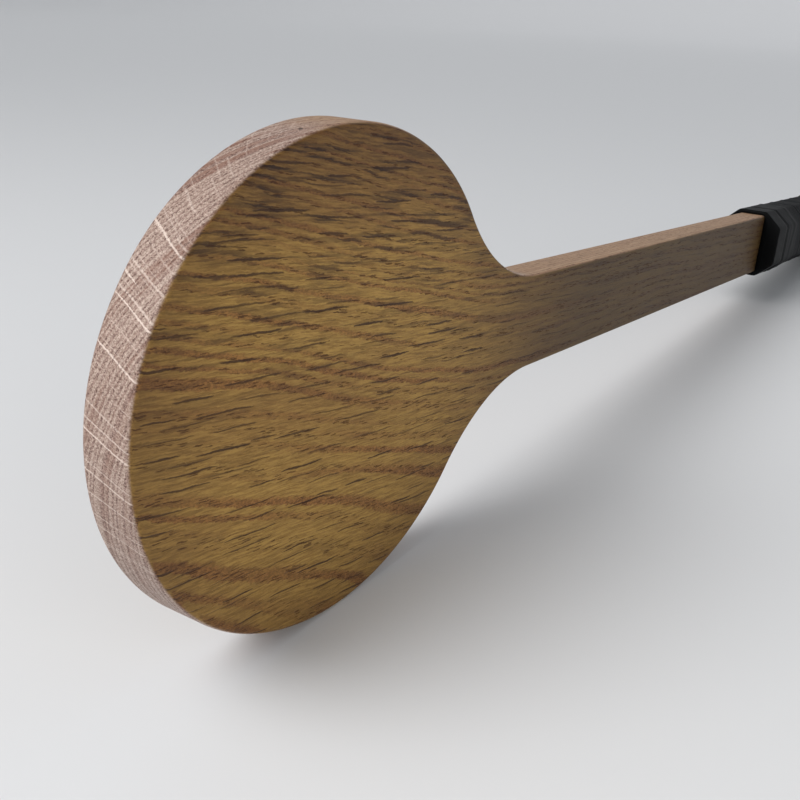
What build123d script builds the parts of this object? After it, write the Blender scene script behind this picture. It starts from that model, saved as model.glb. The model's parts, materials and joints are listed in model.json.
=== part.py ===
"""Wooden tennis training paddle, standing on the rim of its head and on its butt.

The paddle is drawn lying along X, with the middle of its round head at the origin:
X runs down the shaft to the butt, Y is across the thickness of the board and Z is
across its width.  place() then tilts it about Y until the head and the butt touch
the floor together, and sets the origin on the floor under the middle of its box.
"""
from build123d import *
import math
import os

# Oak board
TOTAL_LENGTH = 600.0       # far end of the head to the butt
HEAD_LENGTH = 130.0        # the head is a slightly long oval
HEAD_WIDTH = 116.0
BOARD_THICKNESS = 12.8
TANG_THICKNESS = 12.0      # planed thinner where the collar and the cheeks sit
SHAFT_WIDTH = 29.0
NECK_RADIUS = 60.0         # hollow curve from the head into the shaft
EASED_EDGE = 1.5           # rounding of all long edges of the board

# Handle, an octagon as on a racket
HANDLE_LENGTH = 174.0      # collar face to butt
HANDLE_HEIGHT = 33.0       # across the top and bottom flats
HANDLE_THICKNESS = 30.0    # across the two side flats
SIDE_FLAT = 18.4           # height of a side flat
COVER_THICKNESS = 2.0      # collar wall outside the wooden core
WRAP_THICKNESS = 1.7
TAPE_THICKNESS = 0.25
COLLAR_LENGTH = 20.0
COLLAR_FACE = 3.0          # wall that closes the step round the shaft
COLLAR_ROUNDING = 0.6
TAPE_WIDTH = 22.0

# Butt
CAP_WALL = 4.0             # end wall of the butt cap
CAP_ROUNDING = 1.0
SKIRT_LENGTH = 26.0
SKIRT_START = 0.5          # skirt thickness at its thin end
SKIRT_FLARE = 3.0          # skirt thickness at the end wall
WRAP_RISE = 5.0            # length over which the wrap climbs on to the skirt
BADGE_DIAMETER = 23.0
BADGE_DEPTH = 1.2
BADGE_DOME = 0.6

# Fasteners
SCREW_LENGTH = 13.0
SCREW_DIAMETER = 3.5
SCREW_HEAD = 7.0
SCREW_HEAD_DEPTH = 2.2
SCREW_PLACES = (30.0, 62.0, 94.0, 126.0)   # from the collar face, side after side
TACK_DIAMETER = 1.6
TACK_HEAD = 4.5
TACK_HEAD_DEPTH = 0.5
TACK_LENGTH = 8.0
TACK_SPREAD = 10.0         # distance between the two tacks of one side
CAP_TACK_PLACE = 0.55      # share of the skirt's length, from its thin end
START_TACK_PLACE = 0.75
TACK_SINK = 0.25           # how far a cap tack's head is pressed into the skirt

CLEAR = 1.0                # cutting solids run on by this much past what they cut

# Values that follow from them
HEAD_HALF_LENGTH = HEAD_LENGTH / 2
HEAD_HALF_WIDTH = HEAD_WIDTH / 2
BUTT_X = TOTAL_LENGTH - HEAD_HALF_LENGTH
COLLAR_X = BUTT_X - HANDLE_LENGTH
CORE_START = COLLAR_X + COLLAR_FACE
CAP_INSIDE = BUTT_X - CAP_WALL
SKIRT_X = CAP_INSIDE - SKIRT_LENGTH
WRAP_START = COLLAR_X + COLLAR_LENGTH
TANG_Y = TANG_THICKNESS / 2
CORE_HALF_HEIGHT = HANDLE_HEIGHT / 2 - COVER_THICKNESS
CORE_HALF_THICKNESS = HANDLE_THICKNESS / 2 - COVER_THICKNESS
TOP_FLAT = BOARD_THICKNESS + EASED_EDGE / 2      # width of a top flat of the collar
BEVEL_ANGLE = math.atan2(HANDLE_THICKNESS - TOP_FLAT, HANDLE_HEIGHT - SIDE_FLAT)


def octagon(x, grow):
    """Section of the handle at x, standing `grow` outside the wooden core."""
    across = math.cos(BEVEL_ANGLE)
    up = math.sin(BEVEL_ANGLE)
    bevel = across * HANDLE_THICKNESS / 2 + up * SIDE_FLAT / 2 - COVER_THICKNESS + grow
    height = CORE_HALF_HEIGHT + grow
    thickness = CORE_HALF_THICKNESS + grow
    top = (bevel - up * height) / across
    side = (bevel - across * thickness) / up
    corners = [(top, height), (thickness, side), (thickness, -side), (top, -height),
               (-top, -height), (-thickness, -side), (-thickness, side), (-top, height)]
    return make_face(Polyline([Vector(x, y, z) for y, z in corners], close=True))


def length_of_handle(x_from, grow_from, x_to, grow_to):
    """Solid octagon between two stations, straight or tapered."""
    return loft([octagon(x_from, grow_from), octagon(x_to, grow_to)], ruled=True)


def turned(profile_points, centre, direction):
    """Round part from half its section: points are (radius, height along direction)."""
    profile = make_face(Polyline([(r, 0, h) for r, h in profile_points], close=True))
    solid = revolve(profile, Axis.Z)
    plane = Plane(origin=centre, z_dir=direction)
    return plane.location * solid


def neck_start():
    """Place on the head's oval where the hollow neck curve touches it.

    The centre of the neck curve stands NECK_RADIUS outside the oval and outside the
    shaft's edge, so the place is found by halving the first quarter of the oval.
    """
    wanted = SHAFT_WIDTH / 2 + NECK_RADIUS
    low = 0.0
    high = math.pi / 2
    for _ in range(50):
        turn = (low + high) / 2
        slope = math.hypot(HEAD_HALF_WIDTH * math.cos(turn), HEAD_HALF_LENGTH * math.sin(turn))
        stand_off = NECK_RADIUS * HEAD_HALF_LENGTH * math.sin(turn) / slope
        if HEAD_HALF_WIDTH * math.sin(turn) + stand_off < wanted:
            low = turn
        else:
            high = turn
    return turn, HEAD_HALF_LENGTH * math.cos(turn) + (
        NECK_RADIUS * HEAD_HALF_WIDTH * math.cos(turn) / slope)


def tang():
    """Stretch of the board inside the handle."""
    length = CAP_INSIDE - COLLAR_X
    strip = Pos(COLLAR_X + length / 2, 0, 0) * Box(length, TANG_THICKNESS, SHAFT_WIDTH)
    return fillet(strip.edges().filter_by(Axis.X), EASED_EDGE)


def oak_board():
    """Head, neck, shaft and tang, cut from one board, before the screws go in."""
    turn, neck_end = neck_start()
    half_width = SHAFT_WIDTH / 2
    touch = (HEAD_HALF_LENGTH * math.cos(turn), HEAD_HALF_WIDTH * math.sin(turn))
    head = EllipticalCenterArc((0, 0), HEAD_HALF_LENGTH, HEAD_HALF_WIDTH, math.degrees(turn),
                               arc_size=360 - 2 * math.degrees(turn))
    upper_neck = TangentArc((neck_end, half_width), touch, tangent=(-1, 0))
    lower_neck = TangentArc((neck_end, -half_width), (touch[0], -touch[1]), tangent=(-1, 0))
    shaft = Polyline((neck_end, half_width), (COLLAR_X, half_width),
                     (COLLAR_X, -half_width), (neck_end, -half_width))
    outline = make_face([head, upper_neck, lower_neck, shaft])
    board = extrude(Plane.XZ.offset(-BOARD_THICKNESS / 2) * outline, BOARD_THICKNESS)
    faces = board.faces().filter_by(Axis.Y)
    long_edges = [edge for face in faces for edge in face.edges()
                  if edge.center().X < COLLAR_X - CLEAR]
    return fillet(long_edges, EASED_EDGE) + tang()


def cheeks():
    """Two bevelled strips, front and back, that build the flat tang up to an octagon."""
    core = length_of_handle(CORE_START, 0, CAP_INSIDE, 0)
    return (split(core, Plane.XZ.offset(TANG_Y), keep=Keep.TOP),
            split(core, Plane.XZ.offset(-TANG_Y), keep=Keep.BOTTOM))


def cheek_screws():
    """Countersunk wood screws, driven from the two sides in turn."""
    shank = SCREW_DIAMETER / 2
    head = SCREW_HEAD / 2
    outline = [(0, 0), (head, 0), (shank, -SCREW_HEAD_DEPTH),
               (shank, -SCREW_LENGTH + shank), (0, -SCREW_LENGTH)]
    screws = []
    for number, place in enumerate(SCREW_PLACES):
        side = -1 if number % 2 == 0 else 1
        seat = (COLLAR_X + place, side * CORE_HALF_THICKNESS, 0)
        screws.append(turned(outline, seat, (0, side, 0)))
    return screws


def tack(seat, direction):
    """Short flat-headed tack whose head is flush with its seat."""
    shank = TACK_DIAMETER / 2
    head = TACK_HEAD / 2
    outline = [(0, 0), (head, 0), (head, -TACK_HEAD_DEPTH), (shank, -TACK_HEAD_DEPTH),
               (shank, -TACK_LENGTH + TACK_DIAMETER), (0, -TACK_LENGTH)]
    return turned(outline, seat, direction)


def on_skirt(share):
    """Place along the skirt, and the skirt's thickness there."""
    return SKIRT_X + SKIRT_LENGTH * share, SKIRT_START + (SKIRT_FLARE - SKIRT_START) * share


def cap_tacks():
    """Four tacks through the skirt into the cheeks, two from each side."""
    x, skirt = on_skirt(CAP_TACK_PLACE)
    seat = CORE_HALF_THICKNESS + skirt - TACK_SINK
    return [tack((x, side * seat, z), (0, side, 0))
            for side in (-1, 1)
            for z in (-TACK_SPREAD / 2, TACK_SPREAD / 2)]


def start_tack():
    """The one tack that holds the tail of the wrap, under its first turn."""
    x, skirt = on_skirt(START_TACK_PLACE)
    return tack((x, 0, CORE_HALF_HEIGHT + skirt + WRAP_THICKNESS / 2), (0, 0, 1))


def butt_cap():
    """Moulded cup over the end of the core, flared, with a recess for the badge."""
    skirt = length_of_handle(SKIRT_X, SKIRT_START, CAP_INSIDE, SKIRT_FLARE)
    skirt -= length_of_handle(SKIRT_X - CLEAR, 0, CAP_INSIDE, 0)
    end = length_of_handle(CAP_INSIDE, SKIRT_FLARE + WRAP_THICKNESS,
                           BUTT_X, SKIRT_FLARE + WRAP_THICKNESS)
    end = fillet(end.faces().sort_by(Axis.X)[-1].edges(), CAP_ROUNDING)
    recess = Plane(origin=(BUTT_X, 0, 0), z_dir=(1, 0, 0)).location * Cylinder(
        BADGE_DIAMETER / 2, BADGE_DEPTH, align=(Align.CENTER, Align.CENTER, Align.MAX))
    return skirt + end - recess


def butt_badge():
    """Plain round button in the recess, with a low dome and no lettering."""
    radius = BADGE_DIAMETER / 2
    sphere_radius = (radius ** 2 + BADGE_DOME ** 2) / (2 * BADGE_DOME)
    disc = Cylinder(radius, BADGE_DEPTH, align=(Align.CENTER, Align.CENTER, Align.MAX))
    ball = Pos(0, 0, BADGE_DOME - sphere_radius) * Sphere(sphere_radius)
    dome = ball & Cylinder(radius, BADGE_DOME, align=(Align.CENTER, Align.CENTER, Align.MIN))
    return Plane(origin=(BUTT_X, 0, 0), z_dir=(1, 0, 0)).location * (disc + dome)


def handle_collar():
    """Moulded ring with a flat face round the shaft, which closes the step."""
    ring = length_of_handle(COLLAR_X, COVER_THICKNESS, WRAP_START, COVER_THICKNESS)
    ring = fillet(ring.faces().sort_by(Axis.X)[0].edges(), COLLAR_ROUNDING)
    ring -= length_of_handle(CORE_START, 0, WRAP_START + CLEAR, 0)
    return ring - tang()


def grip_wrap():
    """Sleeve that stands for the wound strip, from the collar to the butt."""
    rise_x = SKIRT_X - WRAP_RISE
    outside = length_of_handle(WRAP_START, WRAP_THICKNESS, rise_x, WRAP_THICKNESS)
    outside += length_of_handle(rise_x, WRAP_THICKNESS, SKIRT_X, SKIRT_START + WRAP_THICKNESS)
    outside += length_of_handle(SKIRT_X, SKIRT_START + WRAP_THICKNESS,
                                CAP_INSIDE, SKIRT_FLARE + WRAP_THICKNESS)
    skirt = length_of_handle(SKIRT_X, SKIRT_START, CAP_INSIDE, SKIRT_FLARE)
    return outside - length_of_handle(WRAP_START, 0, SKIRT_X, 0) - skirt


def finishing_tape():
    """One turn of tape that holds the top end of the wrap against the collar."""
    tape_end = WRAP_START + TAPE_WIDTH
    outside = length_of_handle(WRAP_START, WRAP_THICKNESS + TAPE_THICKNESS,
                               tape_end, WRAP_THICKNESS + TAPE_THICKNESS)
    return outside - length_of_handle(WRAP_START, WRAP_THICKNESS, tape_end, WRAP_THICKNESS)


def standing_tilt():
    """Angle about Y at which the head's rim and the butt touch the floor together."""
    butt_half_height = CORE_HALF_HEIGHT + SKIRT_FLARE + WRAP_THICKNESS
    tilt = 0.0
    for _ in range(20):
        head_drop = math.hypot(HEAD_HALF_LENGTH * math.sin(tilt), HEAD_HALF_WIDTH * math.cos(tilt))
        butt_drop = (butt_half_height - CAP_ROUNDING) * math.cos(tilt) + CAP_ROUNDING
        tilt = math.asin((head_drop - butt_drop) / (BUTT_X - CAP_ROUNDING))
    return tilt, head_drop


def place(nodes):
    """Stand the paddle on the floor, with the origin under the middle of its box."""
    tilt, head_drop = standing_tilt()
    stand = Pos(0, 0, head_drop) * Rot(0, math.degrees(tilt), 0)
    standing = {name: stand * solid for name, solid in nodes.items()}
    boxes = [solid.bounding_box() for solid in standing.values()]
    middle = (min(box.min.X for box in boxes) + max(box.max.X for box in boxes)) / 2
    return {name: Pos(-middle, 0, 0) * solid for name, solid in standing.items()}


def group(solids):
    """Separate solids of one kind in one node."""
    return Compound([piece for solid in solids for piece in solid.solids()])


def paddle():
    board = oak_board()
    front_cheek, back_cheek = cheeks()
    screws = cheek_screws()
    tacks = cap_tacks()
    wrap_tack = start_tack()
    cap = butt_cap()
    for screw in screws:
        board -= screw
        front_cheek -= screw
        back_cheek -= screw
    for pin in tacks + [wrap_tack]:
        board -= pin
        front_cheek -= pin
        back_cheek -= pin
        cap -= pin
    return {
        "oak_blade": board,
        "front_cheek": front_cheek,
        "back_cheek": back_cheek,
        "cheek_screws": group(screws),
        "butt_cap": cap,
        "butt_cap_tacks": group(tacks),
        "butt_badge": butt_badge(),
        "wrap_start_tack": wrap_tack,
        "grip_wrap": grip_wrap() - wrap_tack,
        "finishing_tape": finishing_tape(),
        "handle_collar": handle_collar(),
    }


os.makedirs("parts", exist_ok=True)
for node, solid in place(paddle()).items():
    export_step(solid, f"parts/{node}.step")
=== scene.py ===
"""Looks of the oak training paddle: its board, the collar, the wound grip and the butt.

Everything is worked out in the paddle's own directions and then stood up: `along` runs
down the shaft from the middle of the head, `across` is up the width of the board and
`depth` is from the front face to the back. Lengths in those directions are millimetres.
"""
import bmesh
import bpy
import json
import math
import numpy as np
from mathutils import Matrix, Vector


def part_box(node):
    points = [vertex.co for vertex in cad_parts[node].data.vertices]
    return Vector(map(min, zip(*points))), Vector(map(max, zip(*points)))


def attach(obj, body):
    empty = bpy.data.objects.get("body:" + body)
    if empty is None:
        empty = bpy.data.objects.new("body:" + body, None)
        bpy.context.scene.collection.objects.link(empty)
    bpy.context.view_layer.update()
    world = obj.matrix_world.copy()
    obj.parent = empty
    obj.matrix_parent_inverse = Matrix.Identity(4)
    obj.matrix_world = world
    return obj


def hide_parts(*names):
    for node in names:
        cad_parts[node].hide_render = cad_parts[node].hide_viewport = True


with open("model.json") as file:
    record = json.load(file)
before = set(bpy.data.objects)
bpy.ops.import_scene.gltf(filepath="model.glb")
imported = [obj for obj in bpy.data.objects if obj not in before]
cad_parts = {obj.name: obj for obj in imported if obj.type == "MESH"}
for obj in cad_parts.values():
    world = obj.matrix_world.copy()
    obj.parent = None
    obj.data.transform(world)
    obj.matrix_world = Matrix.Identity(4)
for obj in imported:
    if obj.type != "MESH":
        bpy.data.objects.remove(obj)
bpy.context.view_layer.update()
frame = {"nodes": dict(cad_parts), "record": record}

MM = 0.001
TAU = 2 * math.pi


# ---------------------------------------------------------------- the paddle's directions

def mount_point(name):
    """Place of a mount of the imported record, in metres."""
    mounts = frame["record"]["mounts"]
    return np.array(next(m["pos_m"] for m in mounts if m["name"] == name), float)


def node_points(node):
    """Every vertex of a CAD node, in metres."""
    mesh = frame["nodes"][node].data
    points = np.empty(len(mesh.vertices) * 3, np.float32)
    mesh.vertices.foreach_get("co", points)
    return points.reshape(-1, 3).astype(float)


def middle_of(node):
    low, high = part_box(node)
    return (np.array(low) + np.array(high)) / 2


HEAD = (mount_point("front_face") + mount_point("back_face")) / 2
ALONG = middle_of("butt_badge") - HEAD
ALONG /= np.linalg.norm(ALONG)
DEPTH = np.array([0.0, 1.0, 0.0])
ACROSS = np.cross(ALONG, DEPTH)


def in_paddle(points):
    """Metres in the row frame to (along, across, depth) in millimetres."""
    return (points - HEAD) @ np.stack([ALONG, ACROSS, DEPTH], 1) / MM


def in_frame(along, across, depth):
    """Arrays in the paddle's directions, in millimetres, to points in metres."""
    along, across, depth = np.broadcast_arrays(along, across, depth)
    return HEAD + MM * (along[..., None] * ALONG + across[..., None] * ACROSS
                        + depth[..., None] * DEPTH)


def extent(node, direction):
    """Lowest and highest value of a node along one of the paddle's directions, in mm."""
    values = in_paddle(node_points(node))[:, direction]
    return float(values.min()), float(values.max())


# Places read from the frame, in millimetres along, across and through the paddle
HEAD_HALF_LENGTH = -extent("oak_blade", 0)[0]
TANG_END = extent("oak_blade", 0)[1]
HEAD_HALF_WIDTH = extent("oak_blade", 1)[1]
HALF_BOARD = extent("oak_blade", 2)[1]
COLLAR_FACE = extent("handle_collar", 0)[0]
COLLAR_END = extent("handle_collar", 0)[1]
CORE_HALF_HEIGHT = extent("front_cheek", 1)[1]
CORE_HALF_DEPTH = extent("back_cheek", 2)[1]
TAPE_END = extent("finishing_tape", 0)[1]
WRAP_END = extent("grip_wrap", 0)[1]
SKIRT_START = extent("butt_cap", 0)[0]
BUTT = extent("butt_cap", 0)[1]
CAP_LIP = extent("butt_cap", 1)[1] - CORE_HALF_HEIGHT
BADGE_RADIUS = extent("butt_badge", 2)[1]
BADGE_SEAT = extent("butt_badge", 0)[0]
BADGE_TOP = extent("butt_badge", 0)[1]

# Sizes of the board, in millimetres
SHAFT_HALF = 14.5
NECK_RADIUS = 60.0
EASING = 1.5               # hand-rounded long edges
MARGIN = 0.5               # strip of the face beside its rounded edge
FACE_COLUMNS = 15
TANG_STEP = 0.4            # the board is planed thinner inside the collar

# Sizes of the handle, in millimetres
BEVEL_TURN = math.radians(48.41)   # slope of the bevels of the octagon
BEVEL_REACH = 14.84        # handle's middle to a bevel of the wooden core
CORE_CORNER = 0.9          # rounding of the core's corners
COLLAR_WALL = 2.0
COLLAR_FRONT = 3.0         # wall that closes in on the shaft
WRAP_THICKNESS = 1.7
WRAP_PITCH = 23.5          # how far the wrap climbs in one turn
WRAP_OVERLAP = 3.2
WRAP_WIDTH = WRAP_PITCH + WRAP_OVERLAP
SKIVED_EDGE = 0.42         # leather pared down to this at its edges
SKIVE_WIDTH = 5.0
EDGE_ROUNDING = 0.5        # of the strip's butt-side edge
LIFT_LENGTH = 2.2          # over which that edge climbs on to the turn below
SKIRT_THIN = 0.5           # the cap's skirt under the wrap, at its thin and thick ends
SKIRT_THICK = 3.0
WRAP_RISE = 5.0
CAP_ROUNDING = 1.3         # of the cap's end, and of its edge against the wrap
CAP_SMALL_ROUNDING = 0.3
CAP_DISH = 0.25            # hollow of the cap's end face
SEAT_ROUNDING = 0.5
TAPE_THICKNESS = 0.25
TAPE_LAP = 0.14            # share of a turn by which the tape laps itself
TAPE_BRIDGE = 1.2          # the tape is even over steps of the wrap shorter than this
TAPE_GAP = 0.1             # between the collar and the tape
CLEARANCE = 0.02           # between pieces that lie on each other


# ---------------------------------------------------------------- surfaces

def smooth(value, start, end):
    """0 below start, 1 above end and an even S between."""
    share = np.clip((value - start) / (end - start), 0.0, 1.0)
    return share * share * (3.0 - 2.0 * share)


def quarter_round(share):
    """Height of a quarter circle: 0 at share 0, 1 from share 1 on."""
    return np.sqrt(np.clip(1 - (1 - np.clip(share, 0, 1)) ** 2, 0, 1))


def ripple(place, seed, waves=6):
    """Slow wander between about -1 and 1 along a length: a few sines of random phase."""
    dice = np.random.default_rng(seed)
    total = np.zeros_like(place, dtype=float)
    for wave in range(1, waves + 1):
        total += np.sin(TAU * (wave * place + dice.random())) / wave ** 0.7
    return total / 2.2


def grid_faces(rows, columns, row_ring=False, column_ring=False):
    """Corner numbers of the quads of a grid stored row after row, optionally closed."""
    down = np.arange(rows if row_ring else rows - 1)[:, None]
    side = np.arange(columns if column_ring else columns - 1)[None, :]
    below = (down + 1) % rows
    next_side = (side + 1) % columns
    corners = [down * columns + side, down * columns + next_side,
               below * columns + next_side, below * columns + side]
    shape = (down.size, side.size)
    return np.stack([np.broadcast_to(corner, shape) for corner in corners], -1).reshape(-1, 4)


def piece(name, points, faces, material, stands_for=(), maps=None):
    """A mesh from points in metres and faces, riding on the paddle.

    Points that fall together are joined, so poles and seams close, and then the faces
    are turned outwards. maps holds values for each point, kept as attributes.
    """
    mesh = bpy.data.meshes.new(name)
    mesh.from_pydata(points.reshape(-1, 3).tolist(), [], faces)
    for key, values in (maps or {}).items():
        layer = mesh.attributes.new(key, "FLOAT", "POINT")
        layer.data.foreach_set("value", np.ascontiguousarray(values, np.float32).reshape(-1))
    work = bmesh.new()
    work.from_mesh(mesh)
    bmesh.ops.remove_doubles(work, verts=work.verts, dist=2e-7)
    bmesh.ops.recalc_face_normals(work, faces=work.faces)
    work.to_mesh(mesh)
    work.free()
    mesh.polygons.foreach_set("use_smooth", np.ones(len(mesh.polygons), bool))
    mesh.materials.append(material)
    mesh.update()
    made = bpy.data.objects.new(name, mesh)
    bpy.context.scene.collection.objects.link(made)
    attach(made, "root")
    if stands_for:
        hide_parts(*stands_for)
    return made


# ---------------------------------------------------------------- the board

def board_edge(steps_head=320, steps_neck=60, steps_shaft=90):
    """Upper half of the board's outline, from the tip of the head to the tang's end.

    An ellipse, then an arc of NECK_RADIUS that leaves it and meets the straight shaft
    smoothly, then the shaft. Returns along, across and the two parts of the outward
    normal. The arc's centre stands NECK_RADIUS outside both the ellipse and the shaft.
    """
    turn = np.linspace(0.0, math.pi, 40001)
    flat = np.hypot(HEAD_HALF_WIDTH * np.cos(turn), HEAD_HALF_LENGTH * np.sin(turn))
    out_along = HEAD_HALF_WIDTH * np.cos(turn) / flat
    out_across = HEAD_HALF_LENGTH * np.sin(turn) / flat
    rise = HEAD_HALF_WIDTH * np.sin(turn) + NECK_RADIUS * out_across
    quarter = turn < math.pi / 2
    leave = np.interp(SHAFT_HALF + NECK_RADIUS, rise[quarter], turn[quarter])
    centre = np.interp(leave, turn, HEAD_HALF_LENGTH * np.cos(turn) + NECK_RADIUS * out_along)

    share = np.linspace(0.0, 1.0, steps_head)
    sweep = math.pi - share * (math.pi - leave)
    length = np.hypot(HEAD_HALF_WIDTH * np.cos(sweep), HEAD_HALF_LENGTH * np.sin(sweep))
    head = (HEAD_HALF_LENGTH * np.cos(sweep), HEAD_HALF_WIDTH * np.sin(sweep),
            HEAD_HALF_WIDTH * np.cos(sweep) / length, HEAD_HALF_LENGTH * np.sin(sweep) / length)

    first = math.atan2(head[3][-1], head[2][-1])
    lean = np.linspace(first, math.pi / 2, steps_neck + 1)[1:]
    neck = (centre - NECK_RADIUS * np.cos(lean),
            SHAFT_HALF + NECK_RADIUS - NECK_RADIUS * np.sin(lean), np.cos(lean), np.sin(lean))

    run = np.linspace(centre, COLLAR_FACE, steps_shaft + 1)[1:]
    hidden = np.array([COLLAR_FACE + TANG_STEP, (COLLAR_FACE + TANG_END) / 2, TANG_END])
    run = np.concatenate([run, hidden])
    shaft = (run, np.full_like(run, SHAFT_HALF), np.zeros_like(run), np.ones_like(run))
    return [np.concatenate(parts) for parts in zip(head, neck, shaft)]


def build_board(material):
    """The oak board: rim and easings as one ring, and two flat faces between them.

    Ring: for an angle a from 0 to a quarter turn, the outline is moved in by R(1 - sin a)
    and stands R(1 - cos a) below the face. Faces: straight lines across from the upper
    edge to the lower one. The radius R wanders a little, as hand sanding leaves it.
    """
    along, across, out_along, out_across = board_edge()
    lower = slice(-1, 0, -1)
    loop_along = np.concatenate([along, along[lower]])
    loop_across = np.concatenate([across, -across[lower]])
    loop_out_along = np.concatenate([out_along, out_along[lower]])
    loop_out_across = np.concatenate([out_across, -out_across[lower]])
    count = len(loop_along)
    travel = np.arange(count) / count

    half = HALF_BOARD - TANG_STEP * smooth(loop_along, COLLAR_FACE, COLLAR_FACE + TANG_STEP)
    arc = np.linspace(0.0, math.pi / 2, 7)
    flat_rows = np.linspace(-1.0, 1.0, 9)[1:-1]
    inset_rows = []
    depth_rows = []
    for side, seed in ((-1, 3), (1, 11)):
        radius = EASING * (0.86 + 0.14 * ripple(travel, seed, 14))
        inset = radius[None] * (1 - np.sin(arc))[:, None]
        depth = side * (half[None] - radius[None] * (1 - np.cos(arc))[:, None])
        if side > 0:
            inset, depth = inset[::-1], depth[::-1]
        inset_rows.append(inset)
        depth_rows.append(depth)
    front_end = depth_rows[0][-1]
    middle = front_end + (depth_rows[1][0] - front_end) * (flat_rows[:, None] + 1) / 2
    inset = np.concatenate([inset_rows[0][:1] + MARGIN, inset_rows[0], np.zeros_like(middle),
                            inset_rows[1], inset_rows[1][-1:] + MARGIN])
    depth = np.concatenate([depth_rows[0][:1], depth_rows[0], middle,
                            depth_rows[1], depth_rows[1][-1:]])
    ring = in_frame(loop_along - inset * loop_out_along,
                    loop_across - inset * loop_out_across, depth)
    rows = len(depth)
    half_count = len(along)
    mirror = -np.arange(half_count) % count
    share = np.linspace(0.0, 1.0, FACE_COLUMNS)[:, None]
    faces_points = [ring[row][:half_count, None] * (1 - share) + ring[row][mirror, None] * share
                    for row in (0, -1)]
    down = share[1:-1]           # the tang's end is divided as the faces that meet it
    tang_end = ring[:, half_count - 1, None] * (1 - down) + ring[:, half_count, None] * down
    ring = np.concatenate([ring[:, :half_count], tang_end, ring[:, half_count:]], 1)
    count = ring.shape[1]
    points = np.concatenate([part.reshape(-1, 3) for part in (ring, *faces_points)])
    plate = grid_faces(half_count, FACE_COLUMNS)
    faces = np.concatenate([grid_faces(rows, count, column_ring=True), plate + rows * count,
                            plate + rows * count + half_count * FACE_COLUMNS])
    return piece("oak_board", points, faces.tolist(), material, ["oak_blade"])


# ---------------------------------------------------------------- the handle

FLAT_STEPS = 10
CORNER_STEPS = 5
TURN_STEPS = 8 * (FLAT_STEPS + CORNER_STEPS)


def octagon(half_height, half_depth, bevel_reach, corner):
    """Points and outward normals round an octagon with rounded corners.

    Each side is a line at its own distance from the middle. The eight corner points
    are where neighbouring lines cross once all are moved in by the corner's radius,
    and the outline is their arcs of that radius joined by straights.
    """
    quarter = math.pi / 2
    turns = np.array([0.0, quarter - BEVEL_TURN, quarter, quarter + BEVEL_TURN, math.pi,
                      3 * quarter - BEVEL_TURN, 3 * quarter, 3 * quarter + BEVEL_TURN])
    reach = np.array([half_height, bevel_reach, half_depth, bevel_reach] * 2) - corner
    next_turn = np.append(turns[1:], TAU)
    next_reach = np.roll(reach, -1)
    spread = np.sin(next_turn - turns)
    corner_across = (reach * np.sin(next_turn) - next_reach * np.sin(turns)) / spread
    corner_depth = (next_reach * np.cos(turns) - reach * np.cos(next_turn)) / spread
    bend = np.linspace(0.0, 1.0, CORNER_STEPS)
    lean = turns[:, None] + (next_turn - turns)[:, None] * bend
    arc_across = corner_across[:, None] + corner * np.cos(lean)
    arc_depth = corner_depth[:, None] + corner * np.sin(lean)
    go = np.linspace(0.0, 1.0, FLAT_STEPS + 2)[1:-1]
    first_across = arc_across[:, -1][:, None]
    first_depth = arc_depth[:, -1][:, None]
    flat_across = first_across + (np.roll(arc_across[:, 0], -1)[:, None] - first_across) * go
    flat_depth = first_depth + (np.roll(arc_depth[:, 0], -1)[:, None] - first_depth) * go
    flat_lean = np.repeat(next_turn[:, None], FLAT_STEPS, 1)
    across = np.concatenate([arc_across, flat_across], 1).reshape(-1)
    depth = np.concatenate([arc_depth, flat_depth], 1).reshape(-1)
    lean = np.concatenate([lean, flat_lean], 1).reshape(-1)
    return across, depth, np.cos(lean), np.sin(lean)


CORE = octagon(CORE_HALF_HEIGHT, CORE_HALF_DEPTH, BEVEL_REACH, CORE_CORNER)


def travelled(across, depth):
    """Length round a closed outline up to each of its points, and the whole length."""
    step = np.hypot(np.roll(across, -1) - across, np.roll(depth, -1) - depth)
    return np.concatenate([[0.0], np.cumsum(step)[:-1]]), step.sum()


CORE_TRAVEL, CORE_GIRTH = travelled(CORE[0], CORE[1])
OUTER_TRAVEL, OUTER_GIRTH = travelled(CORE[0] + WRAP_THICKNESS * CORE[2],
                                      CORE[1] + WRAP_THICKNESS * CORE[3])


def round_handle(along, grow):
    """Profile rows carried round the core: each row stands `grow` outside it."""
    across, depth, out_across, out_depth = CORE
    grow = np.asarray(grow, float).reshape(len(along), -1)
    grow = np.broadcast_to(grow, (len(along), TURN_STEPS))
    return in_frame(np.asarray(along, float)[:, None], across + grow * out_across,
                    depth + grow * out_depth)


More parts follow.
